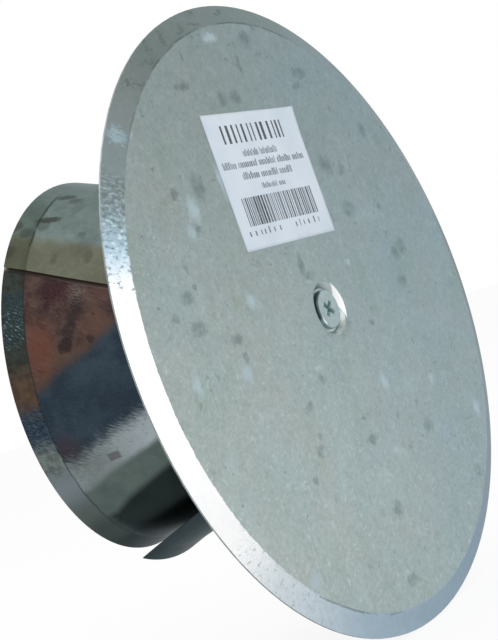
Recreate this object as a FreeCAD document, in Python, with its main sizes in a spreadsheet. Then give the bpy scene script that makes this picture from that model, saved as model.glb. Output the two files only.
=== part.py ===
"""Flue hole cover with a spreading funnel.

A round sheet-metal plate covers a flue hole in a wall. Behind it sit two conical sheet shells,
one nested in the other, each open along one side. A screw through the middle of the plate pulls
a strap forward inside them, and the strap wedges the two shells apart in the hole.

Frame: origin on the wall plane at the middle of the plate, +Y into the wall, +Z up.
"""
import FreeCAD, Part
import math
import os
import Sketcher

# Driving dimensions, in millimetres and degrees: alias, value, meaning
SIZES = [
    ("sheet", 0.6, "thickness of the plate and of the shells"),
    ("plate_radius", 115.0, "outer radius of the cover plate"),
    ("bevel_width", 7.6, "radial width of the bevelled rim"),
    ("bevel_drop", 2.8, "how far the rim is set back towards the wall"),
    ("bend_radius", 0.9, "radius on the inside of the pressed bends in the plate"),
    ("dimple_room", 0.85, "radial room round the screw head on the dimple's floor"),
    ("dimple_slope", 2.0, "radial width of the dimple's wall"),
    ("dimple_depth", 2.4, "depth of the dimple, in which the screw head lies sunk"),
    ("hole_play", 0.3, "radial play of the screw in the plate and in the strap"),
    ("screw_radius", 3.0, "outside radius of the screw thread"),
    ("screw_spare", 7.1, "length of the screw that stands out of the nut"),
    ("screw_tip_chamfer", 0.8, "chamfer on the tip of the screw"),
    ("head_radius", 7.15, "radius of the low screw head"),
    ("head_height", 1.8, "height of the screw head"),
    ("head_round", 0.6, "rounding of the head's upper edge"),
    ("recess_span", 6.6, "tip to tip length of the cross recess"),
    ("recess_slot", 1.9, "width of one arm of the cross recess"),
    ("recess_depth", 2.0, "depth of the cross recess"),
    ("recess_taper", 20.0, "taper of the cross recess"),
    ("recess_turn", 50.0, "turn of the cross recess from level"),
    ("spread_turn", 15.0, "direction in which the strap spreads the shells"),
    ("seat_gap", 0.15, "play between a shell's front edge and the plate"),
    ("outer_front_radius", 46.4, "outer shell: radius of its front edge"),
    ("outer_crease_radius", 70.2, "outer shell: radius at the crease"),
    ("outer_crease_depth", 79.1, "outer shell: depth of the crease"),
    ("band_depth", 7.8, "depth of the rear band, from the crease to the rim"),
    ("band_flare", 3.1, "how much wider the outer shell is at its rim than at its crease"),
    ("outer_shift_side", 0.0, "outer shell: front centre along the spread"),
    ("outer_shift_up", 1.5, "outer shell: front centre across the spread"),
    ("outer_lean_side", 5.4, "outer shell: lean of its axis along the spread"),
    ("outer_lean_up", 3.8, "outer shell: lean of its axis across the spread"),
    ("outer_turn", 1.5, "outer shell: turn about its own axis"),
    ("shell_play", 0.4, "play between the shells where the inner one bears on the outer"),
    ("inner_set_back", 4.9, "how much deeper the inner shell's crease and rim lie"),
    ("inner_shift_side", 1.5, "inner shell: front centre along the spread"),
    ("inner_shift_up", -0.5, "inner shell: front centre across the spread"),
    ("inner_lean_side", 6.4, "inner shell: lean of its axis along the spread"),
    ("inner_lean_up", 6.8, "inner shell: lean of its axis across the spread"),
    ("inner_turn", 0.0, "inner shell: turn about its own axis"),
    ("slit_front", 30.0, "half angle of a shell's slit at its front edge"),
    ("slit_rear", 52.9, "half angle of a shell's slit at its rear rim"),
    ("slit_skew", 4.0, "how far the middle of a slit lies to one side at its front edge"),
    ("strap_width", 25.0, "width of the strap"),
    ("strap_sheet", 2.5, "thickness of the strap"),
    ("strap_depth", 33.0, "depth of the strap's web behind the wall plane"),
    ("strap_leg", 26.0, "depth from the web's front to the ends of the legs"),
    ("strap_bend", 3.0, "inner radius of the strap's bends"),
    ("strap_play", 0.2, "play between the legs' corners and the shells"),
    ("nut_flats", 10.0, "width of the nut across its flats"),
    ("nut_height", 5.0, "height of the nut"),
    ("thread_play", 0.05, "radial play between nut and screw thread"),
    ("label_width", 61.0, "width of the paper label"),
    ("label_height", 48.2, "height of the paper label"),
    ("label_sheet", 0.12, "thickness of the paper label"),
    ("label_side", -8.6, "middle of the label, sideways"),
    ("label_up", 50.4, "middle of the label, upwards"),
]

# Overshoot of cutting sketches past the solid that they cut
MARGIN = 5.0
# Radius on which a sketch's corners start, before its constraints place them
START_RADIUS = 10.0
# Step, in degrees, at which the room between the two shells is measured
RING_STEP = 3
# Places along the inner shell's wall at which it is measured
WALL_PLACES = 8
# How often the inner shell is worked out anew, as its slit and front edge follow its radii
PASSES = 4
# How closely a room is found
PRECISION = 1e-6

doc = FreeCAD.newDocument("flue_hole_cover")
sheet = doc.addObject("Spreadsheet::Sheet", "Sizes")
for row, (alias, value, meaning) in enumerate(SIZES, start=1):
    sheet.set("A%d" % row, meaning)
    sheet.set("B%d" % row, str(value))
    sheet.setAlias("B%d" % row, alias)
doc.recompute()


def size(alias):
    """Value of one cell of the sheet."""
    return float(sheet.get(alias))


def new_body(label):
    """A body that stands for one piece of the object."""
    body = doc.addObject("PartDesign::Body", label)
    body.Label = label
    return body


def origin_plane(body, role):
    """One of the body's own origin planes."""
    for feature in body.Origin.OriginFeatures:
        if feature.Role == role:
            return feature
    raise RuntimeError("no plane " + role)


def new_sketch(body, name, role):
    """An empty sketch on one of the body's origin planes."""
    sketch = body.newObject("Sketcher::SketchObject", name)
    sketch.AttachmentSupport = [(origin_plane(body, role), "")]
    sketch.MapMode = "FlatFace"
    return sketch


def bind(sketch, constraint, value):
    """Add a constraint; a text value is an expression, a number is set as it is."""
    index = sketch.addConstraint(constraint)
    if isinstance(value, str):
        sketch.setExpression("Constraints[%d]" % index, value)
    return index


def outline(body, name, role, points):
    """A closed polygon; each corner is held by its two distances from the sketch's origin."""
    sketch = new_sketch(body, name, role)
    count = len(points)
    # The lines start on a circle; the constraints then carry the corners to their places
    start = []
    for i in range(count):
        turn = 2.0 * math.pi * i / count
        start.append(FreeCAD.Vector(math.cos(turn), math.sin(turn), 0) * START_RADIUS)
    for i in range(count):
        sketch.addGeometry(Part.LineSegment(start[i], start[(i + 1) % count]))
    for i in range(count):
        sketch.addConstraint(Sketcher.Constraint("Coincident", i, 2, (i + 1) % count, 1))
    for i, (across, along) in enumerate(points):
        for kind, value in (("DistanceX", across), ("DistanceY", along)):
            number = 1.0 if isinstance(value, str) else value
            bind(sketch, Sketcher.Constraint(kind, -1, 1, i, 1, number), value)
    return sketch


def hole_circle(body, name, role, radius):
    """A circle about the sketch's origin."""
    sketch = new_sketch(body, name, role)
    sketch.addGeometry(Part.Circle(FreeCAD.Vector(0, 0, 0), FreeCAD.Vector(0, 0, 1), 1.0))
    sketch.addConstraint(Sketcher.Constraint("Coincident", 0, 3, -1, 1))
    bind(sketch, Sketcher.Constraint("Radius", 0, 1.0), radius)
    return sketch


def revolve(body, name, sketch):
    """Turn a profile once round the sketch's upright axis."""
    turned = body.newObject("PartDesign::Revolution", name)
    turned.Profile = sketch
    turned.ReferenceAxis = (sketch, ["V_Axis"])
    turned.Angle = 360.0
    doc.recompute()
    return turned


def round_edges(body, name, base, radius, chosen):
    """Fillet the edges of the base feature for which chosen(edge) is true."""
    names = []
    for i, edge in enumerate(base.Shape.Edges, start=1):
        if chosen(edge):
            names.append("Edge%d" % i)
    fillet = body.newObject("PartDesign::Fillet", name)
    fillet.Base = (base, names)
    fillet.setExpression("Radius", radius)
    doc.recompute()
    return fillet


def near(value, target):
    """Whether two lengths are the same to a hundredth of a millimetre."""
    return abs(value - target) < 0.01


# Places that follow from the sizes, as expressions for the sketches

FACE_FRONT = "-(Sizes.bevel_drop + Sizes.sheet)"
FACE_BACK = "-Sizes.bevel_drop"
FLOOR_FRONT = "-(Sizes.bevel_drop + Sizes.sheet) + Sizes.dimple_depth"
FLOOR_BACK = "-Sizes.bevel_drop + Sizes.dimple_depth"
CREASE = "Sizes.plate_radius - Sizes.bevel_width"
DIMPLE_FLOOR = "Sizes.head_radius + Sizes.dimple_room"
DIMPLE_TOP = "Sizes.head_radius + Sizes.dimple_room + Sizes.dimple_slope"
# How much farther out the dimple's corners lie on the back of the sheet
BACK_STEP = "Sizes.sheet * tan(atan(Sizes.dimple_depth / Sizes.dimple_slope) / 2)"
HOLE = "Sizes.screw_radius + Sizes.hole_play"
SCREW_TIP = "Sizes.strap_depth + Sizes.strap_sheet + Sizes.nut_height + Sizes.screw_spare"


# Cover plate: one pressed disc with a bevelled rim and a dimple for the screw head

def make_cover_plate():
    body = new_body("cover_plate")
    profile = outline(body, "plate_profile", "XY_Plane", [
        (HOLE, FLOOR_FRONT),
        (DIMPLE_FLOOR, FLOOR_FRONT),
        (DIMPLE_TOP, FACE_FRONT),
        (CREASE, FACE_FRONT),
        ("Sizes.plate_radius", "-Sizes.sheet"),
        ("Sizes.plate_radius", 0.0),
        (CREASE, FACE_BACK),
        (DIMPLE_TOP + " + " + BACK_STEP, FACE_BACK),
        (DIMPLE_FLOOR + " + " + BACK_STEP, FLOOR_BACK),
        (HOLE, FLOOR_BACK),
    ])
    turned = revolve(body, "plate_disc", profile)
    # The lip of the dimple and the crease before the rim are rounded on both sides of the sheet
    crease = size("plate_radius") - size("bevel_width")
    lip = size("head_radius") + size("dimple_room") + size("dimple_slope")
    slope = math.atan2(size("dimple_depth"), size("dimple_slope"))
    back = -size("bevel_drop")
    front = back - size("sheet")
    inside = [(lip + size("sheet") * math.tan(slope / 2), back), (crease, back)]
    outside = [(lip, front), (crease, front)]

    def is_ring_at(edge, places):
        if not isinstance(edge.Curve, Part.Circle):
            return False
        circle = edge.Curve
        return any(near(circle.Radius, radius) and near(circle.Center.y, y) for radius, y in places)

    bent = round_edges(body, "bends_inside", turned, "Sizes.bend_radius",
                       lambda edge: is_ring_at(edge, inside))
    round_edges(body, "bends_outside", bent, "Sizes.bend_radius + Sizes.sheet",
                lambda edge: is_ring_at(edge, outside))
    return body


# Screw: low round head with a cross recess, sunk in the plate's dimple

def make_centre_screw():
    body = new_body("centre_screw")
    top = FLOOR_FRONT + " - Sizes.head_height"
    profile = outline(body, "screw_profile", "XY_Plane", [
        (0.0, top),
        ("Sizes.head_radius", top),
        ("Sizes.head_radius", FLOOR_FRONT),
        ("Sizes.screw_radius", FLOOR_FRONT),
        ("Sizes.screw_radius", SCREW_TIP + " - Sizes.screw_tip_chamfer"),
        ("Sizes.screw_radius - Sizes.screw_tip_chamfer", SCREW_TIP),
        (0.0, SCREW_TIP),
    ])
    turned = revolve(body, "screw_blank", profile)
    face = -(size("bevel_drop") + size("sheet"))
    head_top = face + size("dimple_depth") - size("head_height")

    def is_head_edge(edge):
        if not isinstance(edge.Curve, Part.Circle):
            return False
        return near(edge.Curve.Radius, size("head_radius")) and near(edge.Curve.Center.y, head_top)

    round_edges(body, "head_rounding", turned, "Sizes.head_round", is_head_edge)

    # The cross recess is drawn on a plane moved to the top of the head
    long_half = "Sizes.recess_span / 2"
    slot_half = "Sizes.recess_slot / 2"
    cross = outline(body, "recess_cross", "XZ_Plane", [
        (long_half, slot_half),
        (slot_half, slot_half),
        (slot_half, long_half),
        ("-" + slot_half, long_half),
        ("-" + slot_half, slot_half),
        ("-" + long_half, slot_half),
        ("-" + long_half, "-" + slot_half),
        ("-" + slot_half, "-" + slot_half),
        ("-" + slot_half, "-" + long_half),
        (slot_half, "-" + long_half),
        (slot_half, "-" + slot_half),
        (long_half, "-" + slot_half),
    ])
    cross.AttachmentOffset = FreeCAD.Placement(
        FreeCAD.Vector(0, 0, -head_top),
        FreeCAD.Rotation(FreeCAD.Vector(0, 0, 1), size("recess_turn")),
    )
    recess = body.newObject("PartDesign::Pocket", "cross_recess")
    recess.Profile = cross
    recess.setExpression("Length", "Sizes.recess_depth")
    recess.setExpression("TaperAngle", "-Sizes.recess_taper")
    doc.recompute()
    return body


# Funnel shells: conical sheets, flared once more behind a crease, open along a slit

def spread_rotation():
    """Turns X onto the direction in which the strap spreads the shells, about Y."""
    return FreeCAD.Rotation(FreeCAD.Vector(0, 1, 0), -size("spread_turn"))


def lean_slopes(name):
    """How far a shell's axis runs along and across the spread, as a share of the depth."""
    side = math.tan(math.radians(size(name + "_lean_side")))
    up = math.tan(math.radians(size(name + "_lean_up")))
    return -side, up


def shell_placement(name, slit_side):
    """Where a shell stands: local Z is its axis into the wall, local X the middle of its slit."""
    spread = spread_rotation()
    along = spread.multVec(FreeCAD.Vector(1, 0, 0))
    across = spread.multVec(FreeCAD.Vector(0, 0, 1))
    side, up = lean_slopes(name)
    axis = FreeCAD.Vector(0, 1, 0) + along * side + across * up
    lean = FreeCAD.Rotation(along * slit_side, FreeCAD.Vector(), axis, "ZXY")
    turn = FreeCAD.Rotation(FreeCAD.Vector(0, 0, 1), size(name + "_turn"))
    base = along * size(name + "_shift_side") + across * size(name + "_shift_up")
    base.y = -size("bevel_drop")
    return FreeCAD.Placement(base, lean * turn)


def seated_depth(name, radius):
    """Depth of a leaning shell's front edge at which its nearest point meets the plate."""
    lean = math.atan(math.hypot(*lean_slopes(name)))
    return size("seat_gap") / math.cos(lean) + radius * math.tan(lean)


def inside_radius(form, depth):
    """Inside radius of a shell at a depth along its own axis."""
    (r0, z0), (r1, z1), (r2, z2) = form["edges"]
    if depth < z1:
        radius = r0 + (r1 - r0) * (depth - z0) / (z1 - z0)
    else:
        radius = r1 + (r2 - r1) * (depth - z1) / (z2 - z1)
    return radius - form["wall"]


def room_inside(form, start, direction):
    """Distance from a point inside a shell to its inner face, along a direction."""
    inverse = form["placement"].inverse()
    low = 0.0
    high = 2.0 * form["edges"][2][0]
    # Halve the span until the far point lies on the shell
    while high - low > PRECISION:
        middle = 0.5 * (low + high)
        local = inverse.multVec(start + direction * middle)
        if math.hypot(local.x, local.y) < inside_radius(form, local.z):
            low = middle
        else:
            high = middle
    return low


def wall_along_radius(edges):
    """Sheet thickness measured along the radius of the leaning wall."""
    slope = (edges[1][0] - edges[0][0]) / (edges[1][1] - edges[0][1])
    return size("sheet") * math.sqrt(1.0 + slope ** 2)


def outer_form():
    """Outer radius and depth of the outer shell at its front, crease and rim."""
    radius = size("outer_front_radius")
    crease_radius = size("outer_crease_radius")
    crease_depth = size("outer_crease_depth")
    edges = [
        (radius, seated_depth("outer", radius)),
        (crease_radius, crease_depth),
        (crease_radius + size("band_flare"), crease_depth + size("band_depth")),
    ]
    placement = shell_placement("outer", -1.0)
    return {"name": "outer", "edges": edges, "wall": wall_along_radius(edges), "placement": placement}


def beside_slit(form, point):
    """Whether a shell has its wall where a point lies, with the play left at its slit's sides."""
    local = form["placement"].inverse().multVec(point)
    (front_radius, front), _, (rim_radius, rim) = form["edges"]
    front_half = front_radius * math.sin(math.radians(size("slit_front")))
    rim_half = rim_radius * math.sin(math.radians(size("slit_rear")))
    share = (local.z - front) / (rim - front)
    half = front_half + (rim_half - front_half) * share
    middle = -size("slit_skew") * (1.0 - share)
    return local.x < 0.0 or abs(local.y - middle) > half - size("shell_play")


def widest_ring(outer, inner, depth):
    """Radius of the inner shell at a depth at which it bears on the outer one's wall."""
    start = inner["placement"].multVec(FreeCAD.Vector(0, 0, depth))
    rooms = []
    for degrees in range(0, 360, RING_STEP):
        turn = math.radians(degrees)
        local = FreeCAD.Vector(math.cos(turn), math.sin(turn), 0)
        direction = inner["placement"].Rotation.multVec(local)
        room = room_inside(outer, start, direction)
        point = start + direction * room
        # The slits face away from each other, so only some stretches have both walls
        if beside_slit(outer, point) and beside_slit(inner, point):
            rooms.append(room)
    return min(rooms) - size("shell_play")


def wall_end(outer, inner, start_radius, start, end):
    """Radius at the end of a straight wall that stays inside the outer shell all along."""
    slopes = []
    for place in range(1, WALL_PLACES + 1):
        along = (end - start) * place / WALL_PLACES
        slopes.append((widest_ring(outer, inner, start + along) - start_radius) / along)
    return start_radius + min(slopes) * (end - start)


def inner_form(outer):
    """The inner shell is as wide as the outer one lets it be where the two lie together."""
    crease = size("outer_crease_depth") + size("inner_set_back")
    rim = crease + size("band_depth")
    form = dict(outer, name="inner", placement=shell_placement("inner", 1.0))
    for _ in range(PASSES):
        front = seated_depth("inner", form["edges"][0][0])
        front_radius = widest_ring(outer, form, front)
        crease_radius = wall_end(outer, form, front_radius, front, crease)
        rim_radius = wall_end(outer, form, crease_radius, crease, rim)
        form["edges"] = [(front_radius, front), (crease_radius, crease), (rim_radius, rim)]
    form["wall"] = wall_along_radius(form["edges"])
    return form


def slit_sides(front_radius, rim_radius, share):
    """Expressions for both sides of a slit at a share of the way from front edge to rim."""
    half = "((%s) * sin(Sizes.slit_front) * %.6f + (%s) * sin(Sizes.slit_rear) * %.6f)" % (
        front_radius, 1.0 - share, rim_radius, share)
    middle = "Sizes.slit_skew * %.6f" % (1.0 - share)
    return "%s - %s" % (half, middle), "-%s - %s" % (half, middle)


def make_shell(form, corners):
    """A shell from its form; corners are its outer edges as expressions or numbers."""
    name = form["name"]
    body = new_body(name + "_funnel_shell")
    inside = []
    for radius, depth in reversed(corners):
        inside.append(("%s - %.6f" % (radius, form["wall"]), depth))
    turned = revolve(body, name + "_cone", outline(
        body, name + "_profile", "XZ_Plane", corners + inside))

    # The slit widens towards the rear, with straight sides
    front = form["edges"][0][1]
    rim = form["edges"][2][1]
    beyond = MARGIN / (rim - front)
    front_high, front_low = slit_sides(corners[0][0], corners[2][0], -beyond)
    rear_high, rear_low = slit_sides(corners[0][0], corners[2][0], 1.0 + beyond)
    slit = outline(body, name + "_slit_outline", "YZ_Plane", [
        (front_high, front - MARGIN),
        (rear_high, rim + MARGIN),
        (rear_low, rim + MARGIN),
        (front_low, front - MARGIN),
    ])
    pocket = body.newObject("PartDesign::Pocket", name + "_slit")
    pocket.Profile = slit
    pocket.Reversed = True
    pocket.setExpression("Length", "%s + %.1f" % (corners[2][0], MARGIN))
    doc.recompute()
    if not pocket.Shape.Volume < turned.Shape.Volume:
        raise RuntimeError("the %s shell has no slit" % name)
    body.Placement = form["placement"]
    return body


# Strap: a flat bar across the funnel, its legs bent back against the insides of the shells

def leg_reach(form, side, y):
    """Distance along the strap at which the nearer corner of a leg stops short of a shell."""
    spread = spread_rotation()
    direction = spread.multVec(FreeCAD.Vector(side, 0, 0))
    rooms = []
    for corner in (-0.5, 0.5):
        start = spread.multVec(FreeCAD.Vector(0, y, corner * size("strap_width")))
        rooms.append(room_inside(form, start, direction))
    return min(rooms) - size("strap_play")


def make_spreader_strap(outer, inner):
    body = new_body("spreader_strap")
    web = size("strap_depth")
    tip = web + size("strap_leg")
    thick = size("strap_sheet")
    corners = {}
    for side, shell in ((1.0, outer), (-1.0, inner)):
        near_web = leg_reach(shell, side, web)
        near_tip = leg_reach(shell, side, tip)
        lean = math.atan2(near_tip - near_web, size("strap_leg"))
        # The inner corner lies where the two inner faces of the bent bar meet
        inner_step = thick * (1.0 - math.sin(lean)) / math.cos(lean)
        corners[side] = {
            "outer_bend": (side * near_web, "Sizes.strap_depth"),
            "outer_tip": (side * near_tip, "Sizes.strap_depth + Sizes.strap_leg"),
            "inner_tip": (
                side * (near_tip - thick * math.cos(lean)),
                tip + thick * math.sin(lean),
            ),
            "inner_bend": (side * (near_web - inner_step), "Sizes.strap_depth + Sizes.strap_sheet"),
        }
    right = corners[1.0]
    left = corners[-1.0]
    profile = outline(body, "strap_profile", "XY_Plane", [
        right["outer_bend"],
        right["outer_tip"],
        right["inner_tip"],
        right["inner_bend"],
        left["inner_bend"],
        left["inner_tip"],
        left["outer_tip"],
        left["outer_bend"],
    ])
    pad = body.newObject("PartDesign::Pad", "strap_bar")
    pad.Profile = profile
    pad.Midplane = True
    pad.setExpression("Length", "Sizes.strap_width")
    doc.recompute()

    def is_upright_at(edge, places):
        start = edge.Vertexes[0].Point
        end = edge.Vertexes[-1].Point
        if not (near(start.x, end.x) and near(start.y, end.y)):
            return False
        return any(near(start.x, x) and near(start.y, y) for x, y in places)

    inner_places = [(right["inner_bend"][0], web + thick), (left["inner_bend"][0], web + thick)]
    outer_places = [(right["outer_bend"][0], web), (left["outer_bend"][0], web)]
    inside = round_edges(body, "inner_bends", pad, "Sizes.strap_bend",
                         lambda edge: is_upright_at(edge, inner_places))
    bent = round_edges(body, "outer_bends", inside, "Sizes.strap_bend + Sizes.strap_sheet",
                       lambda edge: is_upright_at(edge, outer_places))
    hole = body.newObject("PartDesign::Pocket", "screw_hole")
    hole.Profile = hole_circle(body, "screw_hole_circle", "XZ_Plane", HOLE)
    hole.Type = "ThroughAll"
    hole.Midplane = True
    doc.recompute()
    if not hole.Shape.Volume < bent.Shape.Volume:
        raise RuntimeError("the strap has no screw hole")
    body.Placement = FreeCAD.Placement(FreeCAD.Vector(0, 0, 0), spread_rotation())
    return body


# Nut: hexagon behind the strap, on the end of the screw

def make_strap_nut():
    body = new_body("strap_nut")
    half_flats = "Sizes.nut_flats / 2"
    corner = "Sizes.nut_flats / sqrt(3)"
    profile = outline(body, "nut_hexagon", "XZ_Plane", [
        (corner, 0.0),
        (corner + " / 2", half_flats),
        ("-" + corner + " / 2", half_flats),
        ("-" + corner, 0.0),
        ("-" + corner + " / 2", "-" + half_flats),
        (corner + " / 2", "-" + half_flats),
    ])
    pad = body.newObject("PartDesign::Pad", "nut_blank")
    pad.Profile = profile
    pad.Reversed = True
    pad.setExpression("Length", "Sizes.nut_height")
    doc.recompute()
    hole = body.newObject("PartDesign::Pocket", "nut_bore")
    bore = "Sizes.screw_radius + Sizes.thread_play"
    hole.Profile = hole_circle(body, "nut_bore_circle", "XZ_Plane", bore)
    hole.Type = "ThroughAll"
    hole.Midplane = True
    doc.recompute()
    seat = size("strap_depth") + size("strap_sheet")
    body.Placement = FreeCAD.Placement(FreeCAD.Vector(0, seat, 0), spread_rotation())
    return body


# Label: a plain paper sticker on the front of the plate

def make_paper_label():
    label = doc.addObject("Part::Box", "paper_label")
    label.Label = "paper_label"
    label.setExpression("Length", "Sizes.label_width")
    label.setExpression("Width", "Sizes.label_sheet")
    label.setExpression("Height", "Sizes.label_height")
    label.setExpression("Placement.Base.x", "Sizes.label_side - Sizes.label_width / 2")
    label.setExpression("Placement.Base.y", FACE_FRONT + " - Sizes.label_sheet")
    label.setExpression("Placement.Base.z", "Sizes.label_up - Sizes.label_height / 2")
    doc.recompute()
    return label


outer = outer_form()
inner = inner_form(outer)
outer_corners = [
    ("Sizes.outer_front_radius", outer["edges"][0][1]),
    ("Sizes.outer_crease_radius", "Sizes.outer_crease_depth"),
    ("Sizes.outer_crease_radius + Sizes.band_flare", "Sizes.outer_crease_depth + Sizes.band_depth"),
]
pieces = [
    make_cover_plate(),
    make_centre_screw(),
    make_shell(outer, outer_corners),
    make_shell(inner, inner["edges"]),
    make_spreader_strap(outer, inner),
    make_strap_nut(),
    make_paper_label(),
]
doc.recompute()

for thing in doc.Objects:
    if "Invalid" in thing.State or "Error" in thing.State:
        raise RuntimeError("%s failed: %s" % (thing.Name, thing.State))
for piece in pieces:
    shape = piece.Shape
    if shape.isNull() or not shape.isValid() or len(shape.Solids) != 1:
        raise RuntimeError("%s is not one valid solid" % piece.Label)

os.makedirs("parts", exist_ok=True)
for piece in pieces:
    piece.Shape.exportStep(os.path.join("parts", piece.Label + ".step"))
    box = piece.Shape.BoundBox
    print("%-20s %8.0f mm3  X %.1f %.1f  Y %.1f %.1f  Z %.1f %.1f" % (
        piece.Label, piece.Shape.Volume, box.XMin, box.XMax, box.YMin, box.YMax, box.ZMin, box.ZMax))
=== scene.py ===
"""Looks of the flue hole cover: galvanised sheet, zinc-plated screw and nut, and a paper label.

Lengths are in metres, or in millimetres where a name or comment says so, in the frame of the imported
model: the plate faces -Y, the funnel runs along +Y and the label is upright along +Z. Turns are in
degrees, from +X up over +Z.
"""

import math
import random

import bmesh
import bpy
from mathutils import Matrix, Vector


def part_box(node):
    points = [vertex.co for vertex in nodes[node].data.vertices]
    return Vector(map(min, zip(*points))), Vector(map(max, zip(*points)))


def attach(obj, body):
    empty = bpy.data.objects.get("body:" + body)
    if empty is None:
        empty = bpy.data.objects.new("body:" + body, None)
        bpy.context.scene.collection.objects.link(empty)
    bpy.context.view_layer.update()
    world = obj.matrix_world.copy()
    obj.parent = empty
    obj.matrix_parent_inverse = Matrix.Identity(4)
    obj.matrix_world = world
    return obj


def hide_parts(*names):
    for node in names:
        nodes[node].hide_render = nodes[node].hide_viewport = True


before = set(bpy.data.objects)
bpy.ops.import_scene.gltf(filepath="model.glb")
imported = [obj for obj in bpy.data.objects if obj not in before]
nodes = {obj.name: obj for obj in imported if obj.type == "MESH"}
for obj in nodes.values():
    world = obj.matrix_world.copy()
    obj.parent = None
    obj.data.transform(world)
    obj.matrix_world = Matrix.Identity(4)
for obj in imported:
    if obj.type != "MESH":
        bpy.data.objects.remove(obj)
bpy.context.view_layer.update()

MM = 0.001
PHOTO_WIDTH = 498
PHOTO_HEIGHT = 640


# Places that the frame gives

plate_low, plate_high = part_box("cover_plate")
screw_low, screw_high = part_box("centre_screw")
label_low, label_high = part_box("paper_label")
PLATE_RADIUS = plate_high.x
FACE_Y = plate_low.y
HEAD_FRONT_Y = screw_low.y
TIP_Y = screw_high.y

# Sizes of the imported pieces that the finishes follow
BEVEL_WIDTH = 7.6 * MM
CREASE_RADIUS = PLATE_RADIUS - BEVEL_WIDTH
FUNNEL_FRONT_Y = -2.8 * MM
SPREAD_TURN = 15.0
HEAD_HEIGHT = 1.8 * MM
THREAD_RADIUS = 3.0 * MM
TIP_CHAMFER = 0.8 * MM
# Depths along a shell's axis, and radii on the plate, in millimetres
OUTER_CREASE_DEPTH = 79.1
INNER_CREASE_DEPTH = 84.0
DIMPLE_FLOOR = 8.0
DIMPLE_LIP = 10.0


def shell_axes(shift_side, shift_up, lean_side, lean_up):
    """Where a shell starts, its axis into the wall and two directions across the axis.

    The shifts are in millimetres and the leans in degrees.
    """
    spread = math.radians(SPREAD_TURN)
    along = Vector((math.cos(spread), 0.0, math.sin(spread)))
    across = Vector((-math.sin(spread), 0.0, math.cos(spread)))
    start = (along * shift_side + across * shift_up) * MM + Vector((0.0, FUNNEL_FRONT_Y, 0.0))
    axis = Vector((0.0, 1.0, 0.0)) - along * math.tan(math.radians(lean_side))
    axis = (axis + across * math.tan(math.radians(lean_up))).normalized()
    level = Vector((1.0, 0.0, 0.0))
    level = (level - axis * level.dot(axis)).normalized()
    return {"start": start, "axis": axis, "level": level, "up": level.cross(axis)}


OUTER_AXES = shell_axes(0.0, 1.5, 5.4, 3.8)
INNER_AXES = shell_axes(1.5, -0.5, 6.4, 6.8)


def rgb(red, green, blue):
    """A linear colour from the 0 to 255 numbers of a screen colour, by the sRGB curve."""
    linear = []
    for channel in (red, green, blue):
        share = channel / 255.0
        linear.append(share / 12.92 if share <= 0.04045 else ((share + 0.055) / 1.055) ** 2.4)
    return (*linear, 1.0)


# Node helper

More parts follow.
